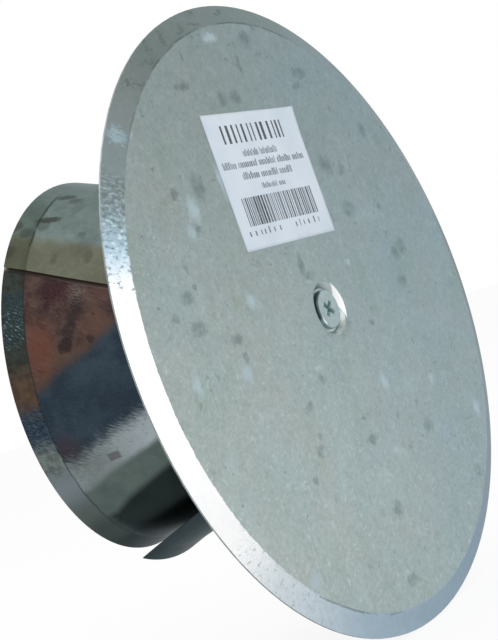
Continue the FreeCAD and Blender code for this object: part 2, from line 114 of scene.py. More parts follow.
class Shader:
    """Builds the nodes of one material; a method returns the socket that it makes."""

    def __init__(self, name):
        self.material = bpy.data.materials.new(name)
        self.material.use_nodes = True
        self.tree = self.material.node_tree
        self.tree.nodes.clear()
        self.coordinates = self.add("ShaderNodeTexCoord")
        self.place = self.coordinates.outputs["Object"]

    def add(self, kind, **settings):
        node = self.tree.nodes.new(kind)
        for key, value in settings.items():
            setattr(node, key, value)
        return node

    def plug(self, socket, value):
        """Link a socket, or set its number or colour."""
        if isinstance(value, bpy.types.NodeSocket):
            self.tree.links.new(value, socket)
        elif value is not None:
            socket.default_value = value

    def fill(self, node, *values, **named):
        """Plug values into a node's sockets, in order or by name; gives its first output."""
        for i, value in enumerate(values):
            self.plug(node.inputs[i], value)
        for key, value in named.items():
            self.plug(node.inputs[key.replace("_", " ")], value)
        return node.outputs[0]

    def math(self, operation, *values):
        return self.fill(self.add("ShaderNodeMath", operation=operation), *values)

    def sum(self, *values):
        total = values[0]
        for value in values[1:]:
            total = self.math("ADD", total, value)
        return total

    def less(self, a, b):
        return self.math("SUBTRACT", a, b)

    def times(self, *values):
        total = values[0]
        for value in values[1:]:
            total = self.math("MULTIPLY", total, value)
        return total

    def vector(self, operation, a, b=None):
        node = self.add("ShaderNodeVectorMath", operation=operation)
        self.fill(node, a, b)
        return node.outputs["Value" if operation in ("LENGTH", "DOT_PRODUCT") else 0]

    def split(self, vector):
        node = self.add("ShaderNodeSeparateXYZ")
        self.plug(node.inputs[0], vector)
        return node.outputs[0], node.outputs[1], node.outputs[2]

    def join(self, x, y, z):
        return self.fill(self.add("ShaderNodeCombineXYZ"), x, y, z)

    def step(self, value, low, high, start=0.0, end=1.0):
        """Smooth change from start at low to end at high."""
        node = self.add("ShaderNodeMapRange", interpolation_type="SMOOTHSTEP")
        return self.fill(node, value, low, high, start, end)

    def span(self, value, start, full, fade, end):
        """1 from full to fade, running down to 0 at start and at end."""
        return self.times(self.step(value, start, full), self.step(value, end, fade))

    def follow(self, value, *corners):
        """A number that runs straight between corners, each a value and its number."""
        total = corners[0][1]
        for (low, start), (high, end) in zip(corners, corners[1:]):
            node = self.add("ShaderNodeMapRange", interpolation_type="LINEAR", clamp=True)
            total = self.sum(total, self.fill(node, value, low, high, 0.0, end - start))
        return total

    def noise(self, scale, detail=3.0, rough=0.5, place=None, bend=0.0, output="Fac"):
        node = self.add("ShaderNodeTexNoise")
        place = place or self.place
        self.fill(node, Vector=place, Scale=scale, Detail=detail, Roughness=rough, Distortion=bend)
        return node.outputs[output]

    def swing(self, value, size):
        """A noise value about zero, size from end to end."""
        return self.times(self.less(value, 0.5), size)

    def cells(self, scale, place=None, output="Color"):
        node = self.add("ShaderNodeTexVoronoi")
        self.fill(node, Vector=place or self.place, Scale=scale)
        return node.outputs[output]

    def mix(self, factor, a, b, blend="MIX"):
        node = self.add("ShaderNodeMix", data_type="RGBA", blend_type=blend)
        self.fill(node, Factor=factor, A=a, B=b)
        return node.outputs["Result"]

    def between(self, value, low, high, a, b, share=1.0):
        """Colour a, with b over it by the share once the value has gone from low to high."""
        return self.mix(self.step(value, low, high, 0.0, share), a, b)

    def paint(self, colour, tone, mask, share):
        """The colour, with a tone over it by the share where the mask is 1."""
        return self.mix(self.times(mask, share), colour, tone)

    def tint(self, factor, colour, red, green, blue):
        """The colour with its linear red, green and blue multiplied."""
        return self.mix(factor, colour, (red, green, blue, 1.0), "MULTIPLY")

    def ramp(self, value, stops):
        """A colour that runs from stop to stop, each a value and its colour."""
        low = stops[0][0]
        span = stops[-1][0] - low
        node = self.add("ShaderNodeValToRGB")
        elements = node.color_ramp.elements
        elements[0].color = stops[0][1]
        elements[1].color = stops[-1][1]
        for place, colour in stops[1:-1]:
            elements.new((place - low) / span).color = colour
        return self.fill(node, self.math("DIVIDE", self.less(value, low), span))

    def stretched(self, x, y, z):
        """The place with each axis scaled, for marks that are longer one way."""
        return self.vector("MULTIPLY", self.place, (x, y, z))

    def turned(self, sideways, upwards):
        """Degrees of the direction with these two parts, from 0 to 360."""
        degrees = self.math("MULTIPLY", self.math("ARCTAN2", upwards, sideways), 180 / math.pi)
        return self.math("ADD", degrees, self.math("MULTIPLY", self.math("LESS_THAN", degrees, 0.0), 360.0))

    def away(self, sideways, upwards, middle):
        """Degrees past the direction at middle, from -180 to 180."""
        turn = math.radians(middle)
        ahead = self.sum(self.times(sideways, math.cos(turn)), self.times(upwards, math.sin(turn)))
        beside = self.less(self.times(upwards, math.cos(turn)), self.times(sideways, math.sin(turn)))
        return self.math("MULTIPLY", self.math("ARCTAN2", beside, ahead), 180 / math.pi)

    def bump(self, height, distance, strength=1.0, under=None):
        node = self.add("ShaderNodeBump")
        return self.fill(node, Strength=strength, Distance=distance, Height=height, Normal=under)

    def finish(self, colour, rough, metal, normal=None, **plain):
        """The surface itself; plain gives numbers set on the shader's own sockets."""
        surface = self.add("ShaderNodeBsdfPrincipled")
        self.fill(surface, Base_Color=colour, Roughness=rough, Metallic=metal, Normal=normal, **plain)
        output = self.add("ShaderNodeOutputMaterial")
        self.tree.links.new(surface.outputs[0], output.inputs["Surface"])
        return self.material


def plain_zinc(shader, dark, light):
    """Dull spangled zinc as it is where nothing else marks it; also gives its mottle."""
    mottle = shader.noise(150.0, 5.0, 0.6)
    ground = shader.between(mottle, 0.3, 0.7, dark, light)
    warped = shader.vector("ADD", shader.place, shader.vector(
        "MULTIPLY", shader.noise(120.0, 2.0, output="Color"), (0.006, 0.006, 0.006)))
    crystal = shader.vector("DOT_PRODUCT", shader.cells(170.0, place=warped), (0.4, 0.3, 0.3))
    ground = shader.paint(ground, light, shader.step(crystal, 0.3, 0.9), 0.3)
    return ground, mottle


# Tint of the gloss on surfaces seen at a flat angle, which are dulled by the skin on the zinc
DULL_EDGE = (0.55, 0.60, 0.62, 1.0)
# How metallic the galvanised plate and shells are
SHEET_METAL = 0.85


# Cover plate

# Dull stains on the plate's face, in millimetres: sideways, upwards, half width, half height
STAINS = [
    (7, 101, 3.4, 3.0), (-3, 92, 1.4, 3.6), (-43, 85, 4.6, 1.6), (-22, 80, 2.4, 2.6),
    (-13, 80, 2.8, 2.8), (36, 87, 4.4, 2.0), (31, 82, 2.8, 1.4), (32, 51, 4.4, 3.8),
    (38, 33, 4.2, 3.2), (-54, 51, 3.2, 4.6), (-64, 37, 3.0, 1.8), (-81, 17, 3.2, 2.0),
    (-80, 7, 3.6, 2.4), (-90, 12, 2.2, 1.4), (-62, 0, 3.0, 2.2), (-61, -6, 1.8, 1.4),
    (-9, 17, 1.8, 4.4), (-35, -29, 2.2, 1.6), (-38, -44, 2.4, 2.0), (-21, -22, 2.0, 1.5),
    (-3, -48, 3.8, 1.7), (-3, -74, 3.2, 3.0), (59, 1, 3.6, 2.4), (61, 12, 3.2, 2.6),
    (68, 14, 3.2, 3.0), (39, -53, 3.6, 2.8), (-9, -98, 3.4, 2.4), (-46, -52, 1.6, 1.4),
    (65, -78, 2.6, 2.2), (70, 62, 2.2, 3.2), (-35, -39, 1.6, 1.2), (-6, 13, 3.4, 1.6),
    (-68, 50, 2.2, 1.8), (-4, -40, 1.2, 1.0), (25, -10, 1.2, 1.0), (61, 31, 1.6, 1.0),
    (42, 48, 2.6, 2.2), (15, 106, 2.0, 1.6), (-75, 20, 1.4, 1.0), (21, -57, 1.4, 1.0),
]
# Pale bluish flecks, in the same order
FLECKS = [
    (-61, 44, 2.8, 4.0), (-66, 37, 2.4, 2.2), (-63, -11, 2.6, 2.6), (-91, -9, 2.0, 3.0),
    (19, -32, 2.2, 3.0), (82, -56, 2.4, 3.2), (-47, 11, 2.0, 2.6), (54, -38, 1.6, 2.2),
    (-16, 102, 4.0, 2.0), (23, 14, 1.3, 1.3), (-83, 72, 3.6, 2.4), (-40, 52, 1.6, 5.0),
    (-21, -18, 2.4, 0.8), (-66, -80, 3.4, 2.6),
]
# Tone of the bevelled rim by the turn round the plate, in degrees: painted reflections, white where a
# painted highlight lies at the left
RIM_REFLECTION_TONES = [
    (0, rgb(118, 132, 134)), (66, rgb(135, 149, 149)), (120, rgb(112, 124, 121)),
    (136, rgb(126, 136, 136)), (154, rgb(128, 144, 148)), (161, rgb(172, 196, 210)),
    (168, rgb(252, 253, 254)), (213, rgb(252, 253, 254)), (222, rgb(212, 221, 226)),
    (246, rgb(164, 184, 198)), (290, rgb(148, 168, 184)), (330, rgb(138, 155, 161)),
    (360, rgb(118, 132, 134)),
]
# Middle of the painted highlight on the dimple's wall, and the degrees by which each of its ends widens for
# a millimetre outwards
HIGHLIGHT_TURN = 12.0
HIGHLIGHT_SLANT = 17.0
# Dark scratches across the rim: turn, inner and outer radius in millimetres, slant in degrees
RIM_SCRATCHES = [
    (127.6, 107.6, 114.0, 1.6), (117.5, 110.5, 115.0, -1.6), (120.6, 108.4, 111.0, 1.5),
    (112.5, 108.6, 114.0, -1.8), (106.0, 108.6, 112.0, -1.6), (99.6, 112.6, 115.0, 1.0),
    (91.0, 110.8, 113.4, -2.4), (101.5, 108.6, 110.4, 1.8),
]


def nearest_spot(shader, places, ragged):
    """1 at the edge of the nearest of some oval spots, less inside and more outside."""
    nearest = None
    for side, up, half_width, half_height in places:
        offset = shader.vector("SUBTRACT", ragged, (side * MM, 0.0, up * MM))
        scaled = shader.vector("MULTIPLY", offset, (1 / half_width / MM, 0.0, 1 / half_height / MM))
        distance = shader.vector("LENGTH", scaled)
        nearest = distance if nearest is None else shader.math("MINIMUM", nearest, distance)
    return nearest


def feathers(shader, crystals, long, thin):
    """Fine strokes that lie another way in each crystal of the zinc."""
    x, _, z = shader.split(shader.place)
    bent = shader.vector("MULTIPLY", shader.noise(90.0, 2.0, output="Color"), (0.012, 0.0, 0.012))
    crystal = shader.cells(crystals, place=shader.vector("ADD", shader.place, bent))
    turn = shader.times(shader.split(crystal)[0], 2 * math.pi)
    cosine = shader.math("COSINE", turn)
    sine = shader.math("SINE", turn)
    ahead = shader.sum(shader.times(x, cosine), shader.times(z, sine))
    beside = shader.less(shader.times(z, cosine), shader.times(x, sine))
    strokes = shader.join(shader.times(ahead, long), shader.times(beside, thin), 0.0)
    return shader.noise(1.0, 2.0, 0.5, place=strokes)


def face_tones(shader):
    """The flat face: darkest at the top and palest at the lower left in painted reflection, with stains and
    flecks.
    """
    x, _, z = shader.split(shader.place)
    # Painted reflection: darker at the top, paler at the lower left
    lowered = shader.step(z, 0.12, -0.085)
    left = shader.mix(lowered, rgb(140, 152, 151), rgb(174, 187, 185))
    right = shader.mix(lowered, rgb(140, 157, 161), rgb(157, 174, 178))
    ground = shader.between(x, -0.09, 0.09, left, right)

    # Broad clouds: bluish, rosy and greenish
    cloud = shader.noise(30.0, 4.0, 0.55)
    ground = shader.tint(shader.step(cloud, 0.5, 0.68), ground, 0.96, 0.99, 1.01)
    ground = shader.tint(shader.step(cloud, 0.5, 0.32), ground, 1.03, 0.99, 0.98)
    olive = shader.noise(52.0, 3.0, 0.6, place=shader.stretched(1.0, 1.0, 0.8), bend=0.6)
    ground = shader.tint(shader.step(olive, 0.52, 0.72), ground, 0.93, 0.96, 0.91)
    ground = shader.tint(shader.step(olive, 0.46, 0.28), ground, 1.05, 1.06, 1.07)

    # Fine grain, and the crystals of the zinc, with painted highlight and shade on them that show most at
    # the lower left
    grain = shader.noise(760.0, 3.0, 0.65)
    ground = shader.tint(shader.step(grain, 0.5, 0.7), ground, 1.10, 1.10, 1.10)
    ground = shader.tint(shader.step(grain, 0.5, 0.3), ground, 0.91, 0.91, 0.91)
    lit_crystals = shader.step(shader.sum(z, shader.times(x, 0.6)), 0.05, -0.06, 0.3, 1.0)
    feather = feathers(shader, 150.0, 300.0, 950.0)
    sparse = shader.step(shader.noise(110.0, 3.0, 0.6), 0.42, 0.6, 0.3, 1.0)
    crystal_glint = shader.times(shader.step(feather, 0.56, 0.72), lit_crystals, sparse)
    ground = shader.tint(crystal_glint, ground, 1.24, 1.28, 1.28)
    ground = shader.tint(shader.times(shader.step(feather, 0.42, 0.25), lit_crystals), ground, 0.86, 0.87, 0.87)
    fog = shader.noise(240.0, 4.0, 0.65)
    ground = shader.tint(shader.step(fog, 0.52, 0.7), ground, 1.08, 1.09, 1.09)
    ground = shader.tint(shader.step(fog, 0.46, 0.3), ground, 0.92, 0.93, 0.93)

    # Stains and flecks with ragged outlines
    shift = shader.vector("SUBTRACT", shader.noise(420.0, 4.0, 0.65, output="Color"), (0.5, 0.5, 0.5))
    ragged = shader.vector("ADD", shader.place, shader.vector("MULTIPLY", shift, (0.0052, 0.0, 0.0052)))
    stain = shader.step(nearest_spot(shader, STAINS, ragged), 1.5, 0.5)
    stain = shader.times(stain, shader.step(shader.noise(380.0, 3.0, 0.6), 0.34, 0.6, 0.35, 1.0))
    stain = shader.times(stain, shader.step(x, 0.0, 0.05, 1.0, 0.8))
    speck = shader.step(shader.noise(230.0, 3.0, 0.55, place=shader.stretched(1.0, 1.0, 0.7)), 0.66, 0.75)
    few = shader.step(shader.noise(60.0, 2.0, 0.5), 0.46, 0.6)
    dots = shader.times(shader.step(shader.cells(200.0, output="Distance"), 0.15, 0.07), few)
    small = shader.math("MAXIMUM", shader.times(speck, 0.6), shader.times(dots, 0.9))
    stain = shader.math("MAXIMUM", stain, small)
    ground = shader.tint(stain, ground, 0.68, 0.71, 0.71)
    fleck = shader.step(nearest_spot(shader, FLECKS, ragged), 1.6, 0.3)
    ground = shader.paint(ground, rgb(180, 200, 208), fleck, 0.7)
    return ground, stain, feather


def rim_tones(shader, face, degrees, radius, stain):
    """The bevelled rim, in painted reflections: dull at the top, a white painted highlight at the left,
    steel blue at the foot.
    """
    streak = shader.noise(1.0, 4.0, 0.65, place=shader.join(
        shader.times(degrees, 1.6), shader.times(radius, 480.0), 0.0))
    uneven = shader.sum(degrees, shader.swing(streak, 9.0))
    rim = shader.ramp(uneven, RIM_REFLECTION_TONES)

    # Streaks where the painted highlight sets in and where it ends, and dark streaks of painted reflection
    # in it
    upper = shader.span(degrees, 144, 158, 166, 173)
    lower = shader.span(degrees, 209, 213, 226, 246)
    share = shader.math("MAXIMUM", upper, shader.times(lower, 0.8))
    rim = shader.mix(shader.times(shader.step(streak, 0.5, 0.68), share, 0.65), rim, rgb(206, 224, 234))
    deep = shader.between(degrees, 180, 200, rgb(70, 88, 98), rgb(128, 144, 152))
    dark_streak = shader.times(
        shader.step(streak, 0.48, 0.32), share, shader.step(degrees, 150, 162, 0.35, 0.75))
    rim = shader.mix(dark_streak, rim, deep)
    # An olive streak of painted reflection
    olive = shader.span(degrees, 146, 149, 152, 156)
    rim = shader.mix(shader.times(olive, shader.step(streak, 0.56, 0.4), 0.4), rim, rgb(92, 96, 82))
    rim = shader.tint(shader.step(shader.noise(420.0, 3.0, 0.6), 0.4, 0.7), rim, 1.07, 1.07, 1.07)

    # One pale fleck, and the dark scratches
    radius_mm = shader.times(radius, 1 / MM)
    fleck = patch(shader, uneven, radius_mm, 140.0, 111.2, 1.3, 3.0, 1.2)
    rim = shader.paint(rim, rgb(158, 182, 192), fleck, 0.7)
    for turn, inner, outer, slant in RIM_SCRATCHES:
        middle = shader.sum(turn - slant / 2, shader.times(shader.step(radius_mm, inner, outer), slant))
        beside = shader.math("ABSOLUTE", shader.less(uneven, middle))
        within = shader.span(radius_mm, inner - 0.6, inner + 0.4, outer - 0.5, outer + 0.5)
        rim = shader.mix(shader.times(shader.step(beside, 0.6, 0.15), within, 0.6), rim, rgb(72, 82, 80))

    # Towards the upper right it has the same tone as the face
    alike = shader.span(degrees, 4, 20, 60, 74)
    rim = shader.mix(alike, rim, face)
    return shader.tint(shader.times(stain, 0.4), rim, 0.75, 0.77, 0.77)


def plate_material():
    shader = Shader("galvanised_plate_finish")
    x, _, z = shader.split(shader.place)
    radius = shader.vector("LENGTH", shader.join(x, 0.0, z))
    degrees = shader.turned(x, z)
    plain, mottle = plain_zinc(shader, rgb(128, 138, 137), rgb(164, 172, 170))
    face, stain, feather = face_tones(shader)
    rim = rim_tones(shader, face, degrees, radius, stain)

    nibble = shader.swing(shader.noise(500.0, 3.0, 0.6), 1.3 * MM)
    edge = shader.sum(radius, nibble)
    colour = shader.between(edge, CREASE_RADIUS - 0.5 * MM, CREASE_RADIUS, face, rim)

    # The pressed bend shows as a thin dark line of painted shade that wanders and breaks off
    wobble = shader.swing(shader.noise(90.0, 4.0, 0.65), 1.5 * MM)
    from_bend = shader.math("ABSOLUTE", shader.less(shader.sum(radius, wobble), CREASE_RADIUS))
    broken = shader.step(shader.noise(150.0, 3.0, 0.6), 0.4, 0.56)
    stretch = shader.sum(shader.span(degrees, 64, 74, 130, 146), shader.span(degrees, 218, 224, 250, 262))
    line = shader.times(shader.step(from_bend, 0.6 * MM, 0.1 * MM), broken, stretch)
    colour = shader.paint(colour, rgb(80, 92, 90), line, 0.55)

    # The dimple's wall is painted pale to lift its shade and has a painted highlight on the right, and a
    # painted shadow lies on the face below it
    radius_mm = shader.times(radius, 1 / MM)
    # A painted highlight on the right of the dimple's wall
    from_highlight = shader.away(x, z, HIGHLIGHT_TURN)
    reach = shader.times(shader.less(radius_mm, DIMPLE_FLOOR), HIGHLIGHT_SLANT)
    dimple_highlight = shader.times(
        shader.step(radius_mm, DIMPLE_LIP + 0.45, DIMPLE_LIP - 0.05),
        shader.step(shader.sum(from_highlight, reach), -6.0, -3.0),
        shader.step(shader.less(from_highlight, reach), 12.0, 5.0))
    # The wall is painted pale to lift its shade, more at the lower left
    hollow = shader.step(radius_mm, DIMPLE_LIP, DIMPLE_LIP - 0.4)
    lower_left = shader.span(degrees, 170, 200, 275, 300)
    wall_lift = shader.mix(lower_left, rgb(176, 189, 190), rgb(196, 209, 210))
    colour = shader.mix(hollow, colour, wall_lift)
    # A painted shadow on the face below and right of the screw
    below = shader.math("ABSOLUTE", shader.away(x, z, 305.0))
    screw_shadow = shader.times(
        shader.step(below, 42.0, 14.0), shader.step(radius_mm, 14.0, 9.5), shader.step(mottle, 0.35, 0.55))
    colour = shader.paint(colour, rgb(116, 122, 108), screw_shadow, 0.5)
    colour = shader.mix(dimple_highlight, colour, rgb(253, 253, 254))

    # Only the front carries these marks
    front = shader.math("LESS_THAN", shader.split(shader.coordinates.outputs["Normal"])[1], 0.0)
    colour = shader.mix(front, plain, colour)

    rough = shader.sum(shader.times(mottle, 0.16), shader.times(stain, 0.12), 0.30)
    normal = shader.bump(shader.noise(45.0, 3.0, 0.5), 0.10 * MM, 0.5)
    normal = shader.bump(feather, 0.012 * MM, 0.5, under=normal)
    normal = shader.bump(shader.math("MULTIPLY", line, -1.0), 0.1 * MM, 0.7, under=normal)
    return shader.finish(colour, rough, SHEET_METAL, normal, Specular_Tint=DULL_EDGE)


# Funnel shells: bands of painted reflection along the sheet, with a band of other painted reflections
# behind the crease

# Dark and light tone of both shells where nothing marks them
SHELL_ZINC = (rgb(120, 130, 129), rgb(158, 167, 166))
# Arc of one degree near a shell's crease, in millimetres
DEGREE_ARC = 1.19
# Direction across the fine strokes on the unrolled sheet: its parts along the arc and the depth
STROKE_ARC = 0.78
STROKE_DEPTH = 0.62
# A surface that looks outward by more than this is the outside of a shell
OUTSIDE_LOOK = 0.3


def funnel_place(shader, axes):
    """Turn about a shell's axis, depth along it in millimetres and how far the surface looks out."""
    offset = shader.vector("SUBTRACT", shader.place, tuple(axes["start"]))
    sideways = shader.vector("DOT_PRODUCT", offset, tuple(axes["level"]))
    upwards = shader.vector("DOT_PRODUCT", offset, tuple(axes["up"]))
    depth = shader.times(shader.vector("DOT_PRODUCT", offset, tuple(axes["axis"])), 1 / MM)
    outward = shader.vector("NORMALIZE", shader.vector("MULTIPLY", offset, (1.0, 0.0, 1.0)))
    look = shader.vector("DOT_PRODUCT", shader.coordinates.outputs["Normal"], outward)
    return shader.turned(sideways, upwards), depth, look


def hatch(shader, degrees, depth, across, along):
    """Fine strokes aslant on the unrolled sheet; across and along are strokes for each millimetre."""
    arc = shader.times(degrees, DEGREE_ARC)
    cross = shader.sum(shader.times(arc, STROKE_ARC), shader.times(depth, STROKE_DEPTH))
    length = shader.less(shader.times(depth, STROKE_ARC), shader.times(arc, STROKE_DEPTH))
    strokes = shader.join(shader.times(cross, across), shader.times(length, along), 0.0)
    return shader.noise(1.0, 3.0, 0.6, place=strokes)


def patch(shader, degrees, depth, turn, deep, half_turn, half_depth, soft=0.6):
    """1 in the middle of an oval patch on the unrolled sheet, fading to 0 at its edge."""
    across = shader.math("DIVIDE", shader.less(degrees, turn), half_turn)
    down = shader.math("DIVIDE", shader.less(depth, deep), half_depth)
    off = shader.vector("LENGTH", shader.join(across, down, 0.0))
    return shader.step(off, 1.0 + soft / 2, 1.0 - soft / 2)


def beyond(shader, place, border, soft):
    """0 before a border and 1 past it, changing over a width of soft."""
    return shader.step(shader.less(place, border), -soft / 2, soft / 2)


def crease_line(shader, depth, middle, half_width):
    """1 on a thin line round a shell that wavers a little, 0 off it."""
    wobble = shader.swing(shader.noise(170.0, 4.0, 0.65), 1.3)
    off = shader.math("ABSOLUTE", shader.less(shader.sum(depth, wobble), middle))
    return shader.step(off, half_width, 0.1 * half_width)


def funnel_finish(shader, colour, cloud, fine, smoothest):
    """The gloss and the dents that both shells have."""
    rough = shader.sum(shader.times(cloud, 0.18), smoothest)
    normal = shader.bump(shader.noise(26.0, 2.0, 0.5), 0.25 * MM, 0.5)
    normal = shader.bump(fine, 0.015 * MM, 0.7, under=normal)
    return shader.finish(colour, rough, SHEET_METAL, normal, Specular_Tint=DULL_EDGE)


# Brownish tone painted beside a slit between the two shells: painted light that lifts the dark shade of the
# gap
SEAM_GAP_LIFT = rgb(130, 116, 108)
# Patches in the brown painted reflection of the inner shell: turn, depth, half widths, softness, share and
# tone
BROWN_PATCHES = [
    (168.0, 80.0, 8.0, 4.5, 1.3, 0.70, rgb(108, 68, 54)),
    (164.0, 60.5, 4.5, 5.0, 1.4, 0.60, rgb(102, 78, 66)),
    (172.0, 70.0, 3.6, 9.0, 1.2, 0.50, rgb(96, 76, 62)),
    (151.0, 57.0, 6.0, 5.0, 1.5, 0.50, rgb(100, 76, 72)),
    (150.5, 73.5, 5.0, 4.8, 1.1, 0.70, rgb(60, 36, 42)),
    (156.8, 66.4, 3.4, 1.7, 0.9, 0.70, rgb(48, 40, 42)),
    (161.4, 68.4, 3.4, 1.7, 0.9, 0.75, rgb(48, 40, 42)),
    (165.4, 70.2, 3.2, 2.0, 0.8, 0.75, rgb(48, 40, 42)),
    (168.9, 71.6, 2.1, 2.4, 0.6, 0.85, rgb(44, 36, 37)),
    (167.6, 62.6, 1.3, 1.4, 0.7, 0.70, rgb(54, 44, 41)),
]


def brown_reflection_tones(shader, wandered, sunk, smoke, strokes, fine):
    """Wine and reddish brown painted reflection below the seam, with smoky patches and fine strokes."""
    brown = shader.between(smoke, 0.32, 0.68, rgb(60, 46, 46), rgb(88, 70, 64))
    for turn, deep, half_turn, half_depth, soft, share, tone in BROWN_PATCHES:
        inside = patch(shader, wandered, sunk, turn, deep, half_turn, half_depth, soft)
        brown = shader.paint(brown, tone, inside, share)
    brown = shader.between(strokes, 0.56, 0.74, brown, rgb(122, 104, 98), 0.4)
    brown = shader.between(strokes, 0.44, 0.28, brown, rgb(48, 32, 34), 0.55)

    # A comb of dark strokes, and a pale place above it, in the painted reflection
    comb = patch(shader, wandered, sunk, 152.0, 74.0, 5.0, 5.0, 0.9)
    brown = shader.paint(brown, rgb(34, 16, 20), shader.times(comb, shader.step(fine, 0.5, 0.36)), 0.85)
    pale_spot = patch(shader, wandered, sunk, 151.5, 66.0, 3.6, 3.0, 1.2)
    pale_spot = shader.times(pale_spot, shader.step(fine, 0.48, 0.62))
    return shader.paint(brown, rgb(128, 128, 120), pale_spot, 0.6)


# Last tones of the painted reflection in the band behind the inner shell's crease: turns at which one sets
# in and is full
BAND_ENDS = [
    (202, 210, rgb(114, 124, 130)), (211, 222, rgb(84, 93, 90)),
    (222, 232, rgb(60, 69, 67)), (234, 246, rgb(32, 39, 39)),
]


def inner_band_tones(shader, wandered, frayed, grit, fine):
    """The band behind the inner shell's crease, in painted reflections."""
    band = shader.between(grit, 0.3, 0.7, rgb(42, 46, 42), rgb(58, 62, 57))
    pale = shader.times(shader.step(fine, 0.58, 0.7), shader.span(wandered, 152, 160, 163, 169))
    teal = shader.span(wandered, 147, 152, 162, 168)
    teal_tone = shader.between(fine, 0.4, 0.6, rgb(34, 46, 48), rgb(52, 70, 74))
    band = shader.paint(band, teal_tone, teal, 0.7)
    band = shader.paint(band, rgb(164, 188, 196), pale, 0.9)
    brown = shader.between(grit, 0.3, 0.7, rgb(70, 56, 48), rgb(90, 72, 58))
    band = shader.between(wandered, 170, 177, band, brown)
    blue = shader.between(fine, 0.4, 0.62, rgb(30, 40, 50), rgb(62, 80, 94))
    band = shader.between(frayed, 181, 188, band, blue)
    green = shader.between(grit, 0.35, 0.65, rgb(84, 92, 88), rgb(112, 122, 120))
    band = shader.between(frayed, 192, 200, band, green)
    for sets_in, full, tone in BAND_ENDS:
        band = shader.between(wandered, sets_in, full, band, tone)
    return band


def inner_funnel_material():
    shader = Shader("galvanised_inner_funnel_finish")
    degrees, depth, look = funnel_place(shader, INNER_AXES)
    strokes = hatch(shader, degrees, depth, 1.5, 0.22)
    fine = hatch(shader, degrees, depth, 3.4, 0.5)
    cloud = shader.noise(75.0, 4.0, 0.6)
    smoke = shader.noise(150.0, 5.0, 0.68)
    grit = shader.noise(420.0, 3.0, 0.6)
    frayed = shader.sum(
        degrees, shader.swing(strokes, 8.0), shader.swing(fine, 5.0), shader.swing(cloud, 4.0))
    crisp = shader.sum(degrees, shader.swing(cloud, 2.4))
    wandered = shader.sum(degrees, shader.swing(smoke, 5.0))
    sunk = shader.sum(depth, shader.swing(smoke, 3.0))

    # Painted reflection: the brown below the seam
    colour = brown_reflection_tones(shader, wandered, sunk, smoke, strokes, fine)

    # Navy, a light band, grey-green and near black follow as painted reflections, the near black a painted
    # shade; their borders run aslant
    navy = shader.between(cloud, 0.35, 0.7, rgb(40, 52, 62), rgb(56, 69, 80))
    warm = patch(shader, wandered, sunk, 199.5, 81.0, 4.5, 4.0, 1.4)
    navy = shader.paint(navy, rgb(62, 52, 56), warm, 0.7)
    navy = shader.between(fine, 0.56, 0.72, navy, rgb(66, 88, 102), 0.45)
    navy = shader.between(fine, 0.44, 0.3, navy, rgb(20, 28, 36), 0.65)
    border = shader.follow(depth, (52, 163.5), (64, 171.5), (75, 175.5), (82, 180.0))
    colour = shader.mix(beyond(shader, frayed, border, 5.0), colour, navy)
    light = shader.between(depth, 54, 76, rgb(160, 171, 177), rgb(114, 123, 122))
    light = shader.between(smoke, 0.35, 0.65, light, rgb(146, 156, 158), 0.5)
    light = shader.between(fine, 0.48, 0.34, light, rgb(84, 92, 94), 0.45)
    border = shader.follow(depth, (51, 195.5), (63, 198.4), (80, 204.2))
    colour = shader.mix(beyond(shader, frayed, border, 7.0), colour, light)
    aside = shader.math("ABSOLUTE", shader.math("DIVIDE", shader.less(degrees, 206.6), 1.5))
    down = shader.math("ABSOLUTE", shader.math("DIVIDE", shader.less(depth, 68.2), 2.2))
    square = shader.step(shader.math("MAXIMUM", aside, down), 1.1, 0.75)
    colour = shader.paint(colour, rgb(86, 78, 80), square, 0.7)
    green = shader.between(cloud, 0.3, 0.7, rgb(74, 88, 85), rgb(92, 105, 101))
    border = shader.follow(depth, (50, 206.0), (60, 208.5), (73, 211.8), (81, 214.6))
    colour = shader.mix(beyond(shader, crisp, border, 3.4), colour, green)
    black = shader.between(cloud, 0.3, 0.75, rgb(18, 25, 25), rgb(32, 41, 40))
    border = shader.follow(depth, (54, 218.0), (63, 221.0), (73, 224.0), (80, 227.5))
    shaded = shader.times(beyond(shader, crisp, border, 4.5), shader.step(sunk, 86.0, 81.0, 0.4, 1.0))
    colour = shader.mix(shaded, colour, black)

    ragged = shader.sum(depth, shader.swing(grit, 0.9))
    band = inner_band_tones(shader, wandered, frayed, grit, fine)
    colour = shader.between(ragged, INNER_CREASE_DEPTH, INNER_CREASE_DEPTH + 0.6, colour, band)
    # The crease shows as a thin dark line of painted shade
    line = crease_line(shader, depth, INNER_CREASE_DEPTH + 0.3, 0.45)
    colour = shader.paint(colour, rgb(30, 34, 34), line, 0.55)
    # Painted shade, darker on the lower part beside the tab
    foot_shade = shader.times(shader.step(degrees, 240, 250), shader.step(depth, 60, 70))
    colour = shader.tint(foot_shade, colour, 0.62, 0.66, 0.66)

    # Beside the seam, where the other shell covers this one, a lighter brownish tone is painted to lift the
    # shade of the gap, and shows as a thin brownish line
    seam = shader.follow(depth, (7.7, 167.7), (83.0, 143.2), (91.0, 141.5))
    gap_lift = shader.step(shader.less(degrees, seam), 0.9, 0.0)
    colour = shader.mix(gap_lift, colour, SEAM_GAP_LIFT)

    plain, _ = plain_zinc(shader, *SHELL_ZINC)
    hidden = shader.math("MAXIMUM", shader.step(degrees, 275, 290), shader.step(degrees, 118, 108))
    outside = shader.math("GREATER_THAN", look, OUTSIDE_LOOK)
    colour = shader.mix(shader.times(outside, shader.less(1.0, hidden)), plain, colour)
    return funnel_finish(shader, colour, cloud, fine, 0.27)


